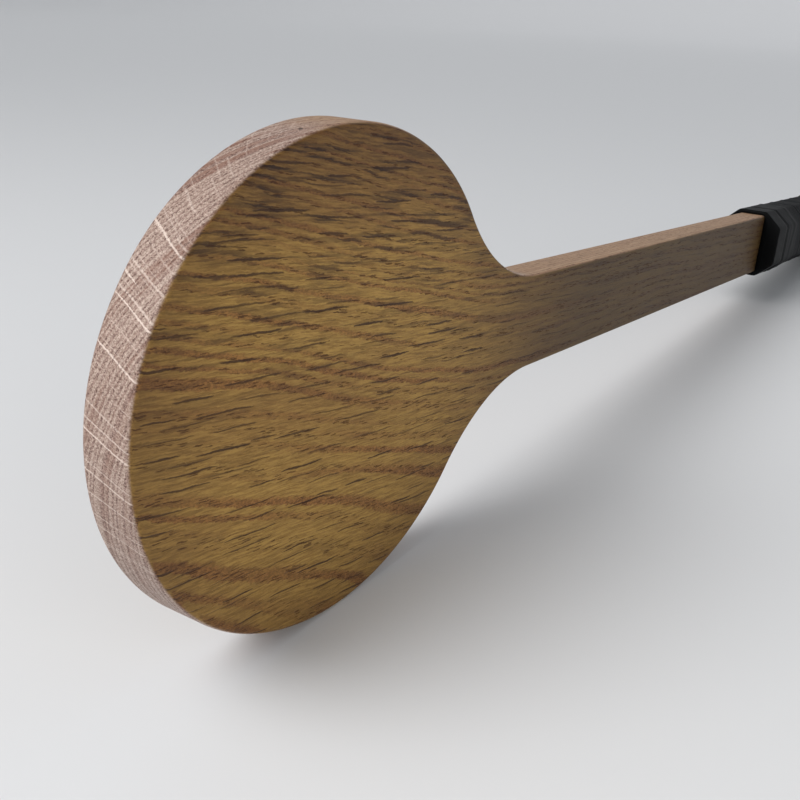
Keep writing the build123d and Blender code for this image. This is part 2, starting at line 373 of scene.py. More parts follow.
def build_collar(material):
    """Rubber collar: an octagonal sleeve whose front wall closes in on the shaft.

    A closed profile carried round: from the shaft out over the front wall, round the
    front edge, back along the outside with a shallow moulded groove, and down behind.
    """
    shaft_bevel = math.sin(BEVEL_TURN) * (SHAFT_HALF - EASING) + math.cos(BEVEL_TURN) * (
        HALF_BOARD - EASING) + EASING
    slack = 0.03                 # round the shaft
    bore = octagon(SHAFT_HALF + slack, HALF_BOARD + slack, shaft_bevel + slack, EASING)
    front = 0.9                  # rounding of the front and the back edge
    back = 0.6
    turn = np.linspace(0.0, math.pi / 2, 7)
    groove = COLLAR_END - 2.6
    spread = np.array([-1.4, -0.5, 0.0, 0.5, 1.2])
    dip = np.array([0.0, 0.18, 0.3, 0.18, 0.0])
    inner_face = COLLAR_FACE + COLLAR_FRONT
    run = COLLAR_FACE + np.array([3.0, 6.0, 9.0, 12.0, 14.0])
    along = np.concatenate([COLLAR_FACE + front * (1 - np.cos(turn)), run, groove + spread,
                            COLLAR_END - back * (1 - np.sin(turn))])
    grow = np.concatenate([COLLAR_WALL - front * (1 - np.sin(turn)), np.full(5, COLLAR_WALL),
                           COLLAR_WALL - dip, COLLAR_WALL - back * (1 - np.cos(turn))])
    outside = round_handle(along, grow)
    tail = round_handle([COLLAR_END, inner_face], [0.0, 0.0])
    lip = 0.35                   # chamfer of the hole for the shaft

    def bore_row(place, gap=0.0):
        return in_frame(place, bore[0] + gap * bore[2], bore[1] + gap * bore[3])[None]

    share = np.linspace(0.0, 1.0, 5)[1:-1, None, None]
    start = bore_row(COLLAR_FACE, lip)[0]
    wall = start * (1 - share) + outside[0] * share
    inner = tail[-1] * (1 - share) + bore_row(inner_face)[0] * share
    points = np.concatenate([bore_row(inner_face), bore_row(COLLAR_FACE + lip),
                             bore_row(COLLAR_FACE + 0.1, 0.12), bore_row(COLLAR_FACE, lip),
                             wall, outside, tail, inner])
    faces = grid_faces(len(points), TURN_STEPS, row_ring=True, column_ring=True)
    return piece("rubber_collar", points, faces.tolist(), material, ["handle_collar"])


def under_wrap(along):
    """How far the wrap is lifted off the core by the cap's skirt."""
    step = SKIRT_THIN * smooth(along, SKIRT_START - WRAP_RISE, SKIRT_START)
    flare = np.clip((along - SKIRT_START) / (WRAP_END - SKIRT_START), 0.0, 1.0)
    return step + (SKIRT_THICK - SKIRT_THIN) * flare


def leather(place):
    """Thickness of the strip at a distance from its collar-side edge: pared at both edges."""
    near = np.minimum(place, WRAP_WIDTH - place)
    pared = SKIVED_EDGE + (WRAP_THICKNESS - SKIVED_EDGE) * smooth(near, -0.6, SKIVE_WIDTH)
    rounded = quarter_round((WRAP_WIDTH - place) / EDGE_ROUNDING)
    return pared * (0.35 + 0.65 * rounded)


def laid_on(place):
    """How far the strip's butt-side edge is lifted by the edge of the turn below it."""
    rest = leather(np.clip(place - WRAP_PITCH, 0.0, WRAP_WIDTH))
    lift = leather(0.0) * smooth(place, WRAP_PITCH - LIFT_LENGTH, WRAP_PITCH)
    return np.where(place > WRAP_PITCH, rest, lift)


def build_wrap(material):
    """Leather strip wound up the handle from the butt, each turn lapping the last.

    Along the strip the place on the core goes round the octagon while the strip climbs
    by one pitch a turn. Across the strip a closed section carries its thickness: pared
    edges, the butt-side edge lying on the turn below. Both ends are cut square to the
    handle, so the first and last turns narrow to nothing.
    """
    turns = (WRAP_END - COLLAR_END + WRAP_WIDTH) / WRAP_PITCH
    steps = int(math.ceil(turns * TURN_STEPS))
    number = np.arange(steps + 1)
    spot = number % TURN_STEPS
    turn = number // TURN_STEPS + CORE_TRAVEL[spot] / CORE_GIRTH
    left = COLLAR_END - WRAP_WIDTH + turn * WRAP_PITCH
    left = np.minimum(left, WRAP_END)

    width = np.concatenate([np.linspace(0.0, 5.0, 7), np.linspace(7.0, 20.0, 7),
                            np.linspace(21.0, WRAP_WIDTH - 0.5, 8),
                            WRAP_WIDTH - np.array([0.3, 0.15, 0.05, 0.0])])
    section = np.concatenate([width, width[::-3]])
    outside = np.concatenate([np.ones(len(width)), np.zeros(len(width[::-3]))])
    along = left[:, None] + section
    kept = np.clip(along, COLLAR_END + 0.05, WRAP_END)
    place = kept - left[:, None]
    thick = leather(place)
    swell = 0.05 * ripple(turn / turns, 5, 30)[:, None] * outside
    grow = under_wrap(kept) + laid_on(place) + (thick + swell) * outside + CLEARANCE
    across, depth, out_across, out_depth = (values[spot][:, None] for values in CORE)
    points = in_frame(kept, across + grow * out_across, depth + grow * out_depth)
    used = (left < WRAP_END - 0.3) & (left + WRAP_WIDTH > COLLAR_END + 0.3)
    points = points[used]
    outer_turn = number // TURN_STEPS + OUTER_TRAVEL[spot] / OUTER_GIRTH
    strip_along = outer_turn[used, None] * OUTER_GIRTH + np.zeros_like(section)
    strip_across = np.broadcast_to(section, strip_along.shape)
    rows, columns = points.shape[:2]
    faces = grid_faces(rows, columns, column_ring=True).tolist()
    faces += [list(range(columns)), list(range((rows - 1) * columns, rows * columns))]
    made = piece("leather_wrap", points, faces, material, ["grip_wrap"],
                 {"strip_along": strip_along, "strip_across": strip_across})
    length = (turn[used][-1] - turn[used][0]) * math.hypot(CORE_GIRTH, WRAP_PITCH)
    length * MM
    return made


def wrap_surface(along, turn_share):
    """Height of the finished wrap over the core at any place on it."""
    left = COLLAR_END - WRAP_WIDTH + turn_share * WRAP_PITCH
    place = WRAP_WIDTH - (WRAP_WIDTH - (along - left)) % WRAP_PITCH
    return under_wrap(along) + laid_on(place) + leather(place)


def build_tape(material):
    """Vinyl finishing tape: a strip a little over one turn long, pulled over the wrap's end."""
    steps = int(TURN_STEPS * (1 + TAPE_LAP))
    offset = 3 * (FLAT_STEPS + CORNER_STEPS) + CORNER_STEPS + FLAT_STEPS // 2
    number = np.arange(steps + 1)
    spot = (number + offset) % TURN_STEPS
    share = CORE_TRAVEL[spot] / CORE_GIRTH
    wide = TAPE_END - COLLAR_END
    inset = np.array([0.0, 0.02, 0.06, 0.14, 0.4])
    width = np.concatenate([inset, np.linspace(1.0, wide - 1.0, 15), wide - inset[::-1]])
    edge = np.minimum(width, wide - width)
    body = quarter_round(edge / 0.12)
    before, here, after = (wrap_surface(COLLAR_END + width[None] + shift, share[:, None])
                           for shift in (-TAPE_BRIDGE, 0.0, TAPE_BRIDGE))
    under = np.maximum(here, (before + here + after) / 3)
    under = 0.75 * under + 0.25 * WRAP_THICKNESS + 0.05
    own_lap = smooth(number, TURN_STEPS - 3.0, TURN_STEPS - 0.5)[:, None]
    lap = (TAPE_THICKNESS + 0.03) * own_lap + CLEARANCE
    under = np.maximum(under, here + 0.03) + lap
    over = under + TAPE_THICKNESS * (0.3 + 0.7 * body)
    run = COLLAR_END + TAPE_GAP + width * (wide - TAPE_GAP) / wide
    along = np.concatenate([run, run[::-1]])
    grow = np.concatenate([over, under[:, ::-1]], 1)
    across, depth, out_across, out_depth = (values[spot][:, None] for values in CORE)
    points = in_frame(along[None], across + grow * out_across, depth + grow * out_depth)
    rows, columns = points.shape[:2]
    faces = grid_faces(rows, columns, column_ring=True).tolist()
    faces += [list(range(columns)), list(range((rows - 1) * columns, rows * columns))]
    made = piece("vinyl_tape", points, faces, material, ["finishing_tape"])
    return made


def toward_circle(along, grow, radius, share):
    """Row of points between the octagon (share 0) and a circle of that radius (share 1)."""
    across, depth, out_across, out_depth = CORE
    across, depth = across + grow * out_across, depth + grow * out_depth
    even = TAU * np.arange(TURN_STEPS) / TURN_STEPS
    turn = np.unwrap(np.arctan2(depth, across))
    turn = even + (turn - even).mean()
    return in_frame(along, across * (1 - share) + radius * np.cos(turn) * share,
                    depth * (1 - share) + radius * np.sin(turn) * share)


def build_cap(material):
    """Moulded butt cap: skirt under the wrap, a rounded lip, an end face and a round seat.

    A profile carried round the handle that turns from the octagon into the circle of
    the seat on its way in over the end face, and closes at the middle.
    """
    inside = WRAP_END - CLEARANCE
    rows = [toward_circle(inside, 0, 0, 1), toward_circle(inside, 0.0, 6, 0.5),
            toward_circle(inside, CLEARANCE, 1, 0), toward_circle(SKIRT_START, CLEARANCE, 1, 0),
            toward_circle(SKIRT_START, SKIRT_THIN, 1, 0)]
    rows += [toward_circle(place, under_wrap(np.array(place)), 1, 0)
             for place in np.linspace(SKIRT_START + 2, WRAP_END - 0.6, 8)]
    rows += [toward_circle(inside, SKIRT_THICK, 1, 0),
             toward_circle(WRAP_END, CAP_LIP - 0.35, 1, 0)]
    turn = np.linspace(0.0, math.pi / 2, 8)
    small = CAP_SMALL_ROUNDING
    rows += [toward_circle(WRAP_END + small * (1 - math.cos(t)),
                           CAP_LIP - small + small * math.sin(t), 1, 0) for t in turn[::2]]
    flat = CAP_LIP - CAP_ROUNDING
    rows += [toward_circle(BUTT - CAP_ROUNDING + CAP_ROUNDING * math.sin(t),
                           flat + CAP_ROUNDING * math.cos(t), 1, 0) for t in turn]
    lip = BADGE_RADIUS + 1.2
    rows += [toward_circle(BUTT - CAP_DISH * math.sin(math.pi * share), flat, lip, share)
             for share in np.linspace(0.0, 1.0, 17)[1:]]
    seat = BADGE_RADIUS + 0.12
    rows += [toward_circle(BUTT - SEAT_ROUNDING + SEAT_ROUNDING * math.cos(t), 0,
                           lip - (lip - seat) * math.sin(t), 1) for t in turn]
    bottom = BADGE_SEAT - CLEARANCE
    rows += [toward_circle(bottom, 0, radius, 1) for radius in (seat, seat / 2, 0)]
    faces = grid_faces(len(rows), TURN_STEPS, column_ring=True).tolist()
    return piece("butt_moulding", np.stack(rows), faces, material, ["butt_cap"])


def build_badge(material):
    """Domed badge: a turned profile with a raised rim, a groove and a shallow dome."""
    thick = BADGE_TOP - BADGE_SEAT
    radius = np.array([0.0, BADGE_RADIUS, BADGE_RADIUS, 11.35, 11.1, 10.6, 10.1, 9.9, 9.7, 9.5,
                       9.3, 9.1, 8.8, 7.5, 6.0, 4.5, 3.0, 1.5, 0.0])
    height = np.array([0.0, 0.0, 0.75, 0.92, 1.0, 1.03, 1.0, 0.94, 0.86, 0.86,
                       0.94, 1.05, 1.12, 1.27, 1.42, 1.57, 1.69, 1.77, 1.8])
    height = height / height[-1] * thick
    turn = np.linspace(0.0, TAU, 97)[:-1]
    points = in_frame(BADGE_SEAT + height[:, None], radius[:, None] * np.cos(turn),
                      radius[:, None] * np.sin(turn))
    faces = grid_faces(len(radius), len(turn), column_ring=True).tolist()
    return piece("domed_badge", points, faces, material, ["butt_badge"])


# ---------------------------------------------------------------- shader arithmetic

class Field:
    """One output of a material's nodes; arithmetic on it adds Math nodes."""

    def __init__(self, finish, socket):
        self.finish = finish
        self.socket = socket

    def math(self, operation, *others):
        inputs = dict(enumerate((self, *others)))
        return self.finish.node("ShaderNodeMath", {"operation": operation}, inputs)

    def __add__(self, other):
        return self.math("ADD", other)

    def __radd__(self, other):
        return self.math("ADD", other)

    def __sub__(self, other):
        return self.math("SUBTRACT", other)

    def __rsub__(self, other):
        return self.finish.node("ShaderNodeMath", {"operation": "SUBTRACT"}, {0: other, 1: self})

    def __mul__(self, other):
        return self.math("MULTIPLY", other)

    def __rmul__(self, other):
        return self.math("MULTIPLY", other)

    def __truediv__(self, other):
        return self.math("DIVIDE", other)

    def __rtruediv__(self, other):
        return self.finish.node("ShaderNodeMath", {"operation": "DIVIDE"}, {0: other, 1: self})

    def __abs__(self):
        return self.math("ABSOLUTE")

    def sqrt(self):
        return self.math("SQRT")

    def fraction(self):
        return self.math("FRACT")

    def angle_to(self, other):
        return self.math("ARCTAN2", other)

    def most(self, other):
        return self.math("MAXIMUM", other)

    def rise(self, start, end):
        """0 below start and 1 above end, smooth between; falls if end is below start."""
        ends = (0.0, 1.0)
        if end < start:
            start, end, ends = end, start, (1.0, 0.0)
        return self.finish.node(
            "ShaderNodeMapRange", {"interpolation_type": "SMOOTHSTEP"},
            {"Value": self, "From Min": start, "From Max": end,
             "To Min": ends[0], "To Max": ends[1]}, "Result")


class Finish:
    """A material and the nodes that make it."""

    def __init__(self, name):
        self.material = bpy.data.materials.new(name)
        self.material.use_nodes = True
        self.tree = self.material.node_tree
        self.tree.nodes.clear()
        self.output = self.tree.nodes.new("ShaderNodeOutputMaterial")

    def node(self, kind, settings=None, inputs=None, output=0):
        """Any node: its type, its settings, then the values or links of its sockets."""
        made = self.tree.nodes.new(kind)
        for name, value in (settings or {}).items():
            setattr(made, name, value)
        for key, value in (inputs or {}).items():
            if isinstance(value, Field):
                self.tree.links.new(value.socket, made.inputs[key])
            else:
                made.inputs[key].default_value = value
        return Field(self, made.outputs[output])

    def outputs(self, field, *names):
        """Other outputs of the node that a field comes from."""
        return [Field(self, field.socket.node.outputs[name]) for name in names]

    def vector(self, x, y, z):
        return self.node("ShaderNodeCombineXYZ", None, {0: x, 1: y, 2: z})

    def parts(self, vector):
        split = self.node("ShaderNodeSeparateXYZ", None, {0: vector})
        return self.outputs(split, "X", "Y", "Z")

    def dot(self, vector, direction):
        return self.node("ShaderNodeVectorMath", {"operation": "DOT_PRODUCT"},
                         {0: vector, 1: direction}, "Value")

    def mix(self, factor, first, second, blend="MIX"):
        """Colour mix: first where factor is 0, second where it is 1."""
        return self.node("ShaderNodeMix", {"data_type": "RGBA", "blend_type": blend},
                         {0: factor, 6: first, 7: second}, 2)

    def noise(self, places, sizes, detail=2.0, roughness=0.5):
        """Noise over three places in mm, stretched by a size in mm along each of them."""
        stretched = self.vector(*(place / size for place, size in zip(places, sizes)))
        return self.node("ShaderNodeTexNoise", None,
                         {"Vector": stretched, "Scale": 1.0, "Detail": detail,
                          "Roughness": roughness})

    def bump(self, height, strength, distance, normal=None):
        """Height is 0 to 1, and distance is what 1 stands for, in metres."""
        inputs = {"Height": height, "Strength": strength, "Distance": distance}
        if normal is not None:
            inputs["Normal"] = normal
        return self.node("ShaderNodeBump", None, inputs)

    def shade(self, **inputs):
        """Principled shader, with socket names written with underscores for spaces."""
        sockets = {name.replace("_", " "): value for name, value in inputs.items()}
        shader = self.node("ShaderNodeBsdfPrincipled", None, sockets)
        self.tree.links.new(shader.socket, self.output.inputs["Surface"])
        return self.material


def colour(red, green, blue):
    """Screen colour, 0 to 255, to the linear colour that nodes take."""
    linear = [((v / 255 + 0.055) / 1.055) ** 2.4 if v > 10 else v / 255 / 12.92
              for v in (red, green, blue)]
    return (*linear, 1.0)


# ---------------------------------------------------------------- oak

PITH_DEPTH = 207.0         # the tree's centre lies in front of the board and below it
PITH_ACROSS = 75.0
FIBRE_DEPTH_SLOPE = 0.065  # the fibres run a little out of the face
FIBRE_SIDE_SLOPE = 0.08
SHAFT_SIDE_SLOPE = 0.02
RING_WIDTH = 1.25
VESSEL_CELL = 0.46
VESSEL_LENGTH = 5.0
RAY_SPACING = 2.5
RAY_HEIGHT = 23.0
PINHOLE = (-17.0, -2.4)    # along and depth


def in_paddle_field(finish):
    """Object coordinates as along, across and depth in millimetres."""
    here = finish.node("ShaderNodeTexCoord", None, None, "Object")
    here = finish.node("ShaderNodeVectorMath", {"operation": "SUBTRACT"},
                       {0: here, 1: tuple(HEAD)})
    here = finish.node("ShaderNodeVectorMath", {"operation": "SCALE"},
                       {0: here, "Scale": 1 / MM})
    return [finish.dot(here, tuple(way)) for way in (ALONG, ACROSS, DEPTH)]


def spindles(finish, first, second, third, dimensions="3D"):
    """Random cells: the offsets to the nearest cell's centre, and three random numbers."""
    place = finish.vector(first, second, third)
    distance = finish.node("ShaderNodeTexVoronoi", {"voronoi_dimensions": dimensions},
                           {"Vector": place, "Scale": 1.0, "Randomness": 0.9}, "Distance")
    dice, centre = finish.outputs(distance, "Color", "Position")
    offset = finish.node("ShaderNodeVectorMath", {"operation": "SUBTRACT"}, {0: place, 1: centre})
    return finish.parts(offset), finish.parts(dice)


def spindle(lengthwise, sideways, half_length, half_width, blur):
    """1 inside a slender ellipse that tapers to its two ends."""
    share = lengthwise / half_length
    taper = (1.0 - share * share).most(0.0).sqrt()
    return (taper * half_width - abs(sideways)).rise(-blur, blur) * taper.rise(0.0, 0.3)


def oak():
    """Oiled red oak, one solid pattern through the whole board.

    Rings are shells round the pith. Vessels are long thin cells crowded in the early
    part of each ring. Rays are thin sheets that run out from the pith: pale lines where
    the rim cuts them, and dark spindles where the faces cut them end on.
    """
    finish = Finish("oiled_red_oak")
    here = along, across, depth = in_paddle_field(finish)
    drift = finish.noise(here, (95.0, 34.0, 30.0), 1.0)
    flow = finish.noise((along + 420.0, across, depth), (60.0, 25.0, 25.0), 1.0)
    ragged = finish.noise(here, (1.6, 0.7, 0.7), 2.0, 0.6)
    sway = finish.noise(here, (11.0, 8.0, 60.0), 1.0)
    head_along = along.math("SMOOTH_MIN", HEAD_HALF_WIDTH, HEAD_HALF_WIDTH)
    side = across + head_along * FIBRE_SIDE_SLOPE + along * SHAFT_SIDE_SLOPE + PITH_ACROSS
    side = side + (drift - 0.5) * 4.0 + (sway - 0.5) * 1.2
    out = depth + head_along * FIBRE_DEPTH_SLOPE + (flow - 0.5) * 1.6 + PITH_DEPTH
    radius = (side * side + out * out).sqrt() + (ragged - 0.5) * 0.5
    round_it = side.angle_to(out) * PITH_DEPTH + (ragged - 0.5) * 0.4
    wood_place = (along, radius, round_it)

    uneven = finish.noise(wood_place, (300.0, 5.0, 90.0), 2.0)
    ring = (radius + (uneven - 0.5) * 5.0) / RING_WIDTH
    phase = ring.fraction()
    early = phase.rise(0.0, 0.10) * phase.rise(0.66, 0.36)
    year = finish.noise(wood_place, (160.0, 1.9, 60.0), 1.0)
    rich = early * year.rise(0.36, 0.62)
    upper = across.rise(-18.0, 52.0)
    # top band of the head's face: partly a redder stain, partly painted shade
    top_stain_and_shade = across.rise(22.0, 56.0)
    # the face darker towards the outline of the head
    outline_long = head_along / HEAD_HALF_LENGTH
    outline_side = across / HEAD_HALF_WIDTH
    near_outline = (outline_long * outline_long + outline_side * outline_side).rise(0.30, 1.05)
    # towards the shaft: calmer rays, and a face painted darker and greyer as painted shade and
    # painted cool light
    shaft_calm_and_shade = along.rise(35.0, 145.0)

    # vessels, and the finer ones of the late wood
    (lengthwise, outwards, sideways), (chance, size, _) = spindles(
        finish, along / VESSEL_LENGTH, radius / VESSEL_CELL, round_it / VESSEL_CELL)
    apart = (outwards * outwards + sideways * sideways).sqrt()
    taper = (1.0 - lengthwise * lengthwise * 3.6).most(0.0)
    vessel = (taper * (size * 0.20 + 0.24) - apart).rise(0.0, 0.10)
    vessel = vessel * (early * 0.85 + 0.15) * chance.rise(0.05, 0.2)

    # broad rays and the fine ones between them
    (ray_long, ray_side, _), (ray_chance, ray_size, ray_tone) = spindles(
        finish, along / RAY_HEIGHT, round_it / RAY_SPACING, 0.5, "2D")
    ray = spindle(ray_long, ray_side, ray_size * 0.24 + 0.18, ray_tone * 0.05 + 0.045, 0.04)
    ray = ray * ray_chance.rise(0.10, 0.2) * (ray_tone * 0.4 + 0.6)
    (fine_long, fine_side, _), (fine_chance, fine_size, _) = spindles(
        finish, along / 6.5 + 31.0, round_it / 0.95, 0.5, "2D")
    fine_ray = spindle(fine_long, fine_side, 0.42, fine_size * 0.10 + 0.05, 0.06)
    fine_ray = fine_ray * fine_chance.rise(0.45, 0.6)
    streak = finish.noise(wood_place, (40.0, 1.5, 1.2), 3.0, 0.55)
    streak = streak.rise(0.49, 0.62) * (early * 0.5 + 0.5) * (upper * 0.8 + 0.2)
    (_, line_side, _), (line_chance, line_tone, _) = spindles(
        finish, along / 26.0 + 5.0, round_it / 3.6, 0.5, "2D")
    pale_line = (0.042 - abs(line_side)).rise(-0.022, 0.022) * line_chance.rise(0.12, 0.25)
    pale_line = pale_line * (line_tone * 0.6 + 0.4) * across.rise(48.0, 41.0)
    pale_line = pale_line * (across.rise(-42.0, 4.0) * 0.8 + 0.2)

    # how the surface cuts the wood
    normal = finish.node("ShaderNodeNewGeometry", None, None, "Normal")
    on_face = abs(finish.dot(normal, tuple(DEPTH))).rise(0.45, 0.85)
    end_on = abs(finish.dot(normal, tuple(ALONG))).rise(0.03, 0.30)

    # colours of the faces
    fibre = finish.noise(wood_place, (14.0, 0.4, 0.4), 3.0, 0.65)
    cloud = finish.noise(here, (90.0, 22.0, 20.0), 2.0)
    fleck = finish.noise(wood_place, (0.9, 0.35, 0.35), 2.0, 0.7)
    late = finish.mix(fibre.rise(0.3, 0.7), colour(138, 103, 46), colour(182, 144, 74))
    soft = finish.mix(fleck.rise(0.35, 0.65), colour(100, 58, 26), colour(160, 108, 55))
    face_wood = finish.mix(rich * (0.8 - upper * 0.2), late, soft)
    face_wood = finish.mix(cloud.rise(0.45, 0.75) * 0.35, face_wood, colour(112, 72, 40))
    # painted shade: the neck and shaft face darker and greyer
    face_wood = finish.mix(shaft_calm_and_shade * 0.72, face_wood, colour(66, 53, 36))
    # darker towards the outline of the head
    face_wood = finish.mix(near_outline * 0.85, face_wood, colour(206, 200, 196), "MULTIPLY")
    # darker towards the top of the face: partly a redder tone, partly painted shade
    face_wood = finish.mix(top_stain_and_shade * 0.85, face_wood, colour(204, 192, 200), "MULTIPLY")
    face_wood = finish.mix(streak * (top_stain_and_shade * 0.12 + 0.85), face_wood, colour(46, 25, 11))
    face_wood = finish.mix(vessel * 0.7, face_wood, colour(66, 36, 20))
    face_wood = finish.mix(fine_ray * (upper * 0.2 - shaft_calm_and_shade * 0.1 + 0.22), face_wood,
                           colour(70, 44, 22))
    face_wood = finish.mix(ray * (0.9 - shaft_calm_and_shade * 0.35), face_wood, colour(54, 28, 9))

    # colours of the rim: speckled where the fibres end in it, streaked where they run along it;
    # the pale pink-grey of the end grain is partly its own tone, partly painted light and a
    # painted cool reflection
    band = finish.noise(wood_place, (40.0, 1.6, 30.0), 2.0)
    speck = finish.noise(here, (0.45, 0.35, 0.35), 2.0, 0.75)
    speck = speck.rise(0.3, 0.7)
    # end grain painted paler and greyer than oiled oak: painted light and a painted cool
    # reflection over its own speckle
    lit_rim_late = finish.mix(speck, colour(132, 108, 96), colour(200, 178, 165))
    lit_rim_soft = finish.mix(speck, colour(100, 73, 65), colour(176, 149, 137))
    rim_wood_and_light = finish.mix(early * 0.8, lit_rim_late, lit_rim_soft)
    rosy = band.rise(0.46, 0.66) * (upper * 0.4 + 0.25)
    rim_wood_and_light = finish.mix(rosy, rim_wood_and_light, colour(120, 78, 60))
    rim_wood_and_light = finish.mix(fine_ray * 0.35, rim_wood_and_light, colour(214, 194, 182))
    rim_wood_and_light = finish.mix(pale_line * 0.75, rim_wood_and_light, colour(236, 218, 206))
    edge_late = finish.mix(fibre.rise(0.3, 0.7), colour(146, 116, 90), colour(184, 154, 124))
    edge_soft = finish.mix(fleck.rise(0.3, 0.7), colour(118, 82, 62), colour(164, 124, 98))
    edge_wood = finish.mix(early * 0.6, edge_late, edge_soft)
    rim_wood_and_light = finish.mix(end_on, edge_wood, rim_wood_and_light)
    rim_wood_and_light = finish.mix(vessel * 0.62, rim_wood_and_light, colour(76, 50, 44))
    wood = finish.mix(on_face, rim_wood_and_light, face_wood)

    # one old pinhole on top of the rim
    gap_along = along - PINHOLE[0]
    gap_depth = depth - PINHOLE[1]
    pinhole = (gap_along * gap_along + gap_depth * gap_depth).sqrt().rise(0.62, 0.38)
    pinhole = pinhole * across.rise(0.0, 20.0)
    wood = finish.mix(pinhole * 0.9, wood, colour(34, 22, 18))

    pit = 1.0 - vessel * 0.8 - ray * on_face * 0.7 - pinhole
    bump = finish.bump(pit, 0.6, 0.00025)
    bump = finish.bump(fibre * 0.6 + speck * 0.4, 0.35, 0.00012, bump)
    rough = vessel * 0.2 + fibre * 0.16 + 0.44
    return finish.shade(Base_Color=wood, Roughness=rough, Normal=bump, Specular_IOR_Level=0.3)


def cheek_wood():
    """Plain pale hardwood with fine straight grain, for the two cheeks inside the grip."""
    finish = Finish("cheek_beech")
    here = in_paddle_field(finish)
    grain = finish.noise(here, (30.0, 1.2, 1.2), 3.0, 0.6)
    fleck = finish.noise(here, (2.4, 0.35, 0.35), 1.0)
    wood = finish.mix(grain, colour(176, 138, 96), colour(210, 176, 132))
    wood = finish.mix(fleck.rise(0.62, 0.75) * 0.5, wood, colour(140, 98, 62))
    bump = finish.bump(grain + fleck * 0.5, 0.2, 0.0001)
    return finish.shade(Base_Color=wood, Roughness=grain * 0.15 + 0.5, Normal=bump)


# ---------------------------------------------------------------- handle finishes

def rubber():
    """Black moulded rubber: matt skin, fine dust grain and faint handling smears."""
    finish = Finish("collar_rubber_black")
    here = in_paddle_field(finish)
    grain = finish.noise(here, (0.22, 0.22, 0.22), 2.0, 0.6)
    smear = finish.noise(here, (9.0, 6.0, 6.0), 3.0)
    skin = finish.mix(smear, colour(5, 6, 7), colour(13, 14, 15))
    bump = finish.bump(grain, 0.25, 0.00004)
    rough = smear * 0.22 + 0.40
    return finish.shade(Base_Color=skin, Roughness=rough, Normal=bump, Specular_IOR_Level=0.06)


HOLE_PITCH = 4.6           # punched holes of the wrap, in millimetres
HOLE_RADIUS = 0.42
HOLE_MARGIN = 4.4          # plain strip beside each edge
HOLE_BLUR = 0.12
PEBBLE = 0.9               # size of the leather's grain


def leather_finish():
    """Black grip leather: pebbled grain, rows of punched holes, a lighter band along the strip's
    butt-side edge.
    """
    finish = Finish("grip_leather_black")
    strip_along = finish.node("ShaderNodeAttribute", {"attribute_name": "strip_along"},
                              None, "Fac")
    strip_across = finish.node("ShaderNodeAttribute", {"attribute_name": "strip_across"},
                               None, "Fac")
    here = in_paddle_field(finish)
    grain = finish.vector(*(place / PEBBLE for place in here))
    pebble = finish.node("ShaderNodeTexVoronoi", {"feature": "SMOOTH_F1"},
                         {"Vector": grain, "Scale": 1.0, "Smoothness": 0.6}, "Distance")
    wear = finish.noise(here, (22.0, 14.0, 14.0), 3.0)
    row = (strip_across - HOLE_MARGIN) / HOLE_PITCH
    shifted = strip_along / HOLE_PITCH + row.math("FLOOR") * 0.5
    over = (row.fraction() - 0.5) * HOLE_PITCH
    up = (shifted.fraction() - 0.5) * HOLE_PITCH
    hole = (over * over + up * up).sqrt().rise(
        HOLE_RADIUS + HOLE_BLUR, HOLE_RADIUS - HOLE_BLUR)
    hole = hole * strip_across.rise(HOLE_MARGIN - 0.2, HOLE_MARGIN) * strip_across.rise(
        WRAP_WIDTH - HOLE_MARGIN + 0.2, WRAP_WIDTH - HOLE_MARGIN)
    rub = strip_across.rise(WRAP_WIDTH - 1.6, WRAP_WIDTH)
    skin = finish.mix(wear, colour(4, 5, 7), colour(12, 14, 16))
    skin = finish.mix(rub * 0.4, skin, colour(44, 42, 40))
    skin = finish.mix(hole, skin, colour(3, 3, 3))
    bump = finish.bump(1.0 - hole, 0.8, 0.0004)
    bump = finish.bump(pebble, 0.35, 0.00012, bump)
    rough = pebble * 0.12 + wear * 0.16 + 0.44
    return finish.shade(Base_Color=skin, Roughness=rough, Normal=bump, Specular_IOR_Level=0.06)


def vinyl():
    """Glossy black vinyl tape: fine calendered lines round it and soft waves of tension."""
    finish = Finish("tape_vinyl_black")
    here = in_paddle_field(finish)
    lines = finish.noise(here, (0.16, 9.0, 9.0), 1.0)
    waves = finish.noise(here, (4.0, 8.0, 8.0), 2.0)
    skin = finish.mix(waves, colour(6, 7, 9), colour(14, 15, 17))
    bump = finish.bump(lines, 0.12, 0.00003)
    bump = finish.bump(waves, 0.3, 0.0005, bump)
    return finish.shade(Base_Color=skin, Roughness=lines * 0.06 + waves * 0.14 + 0.38, Normal=bump,
                        Specular_IOR_Level=0.04)


def moulded(name, dark, light, rough_low, rough_high):
    """Injection-moulded plastic with a spark-eroded grain and light scuffs."""
    finish = Finish(name)
    here = in_paddle_field(finish)
    grain = finish.noise(here, (0.3, 0.3, 0.3), 2.0, 0.7)
    scuff = finish.noise(here, (2.5, 0.5, 3.5), 3.0, 0.7)
    smear = finish.noise(here, (8.0, 8.0, 8.0), 2.0)
    skin = finish.mix(smear, dark, light)
    skin = finish.mix(scuff.rise(0.66, 0.8) * 0.35, skin, colour(70, 70, 72))
    bump = finish.bump(grain, 0.35, 0.00006)
    rough = smear * (rough_high - rough_low) + scuff.rise(0.6, 0.8) * 0.15 + rough_low
    return finish.shade(Base_Color=skin, Roughness=rough, Normal=bump)


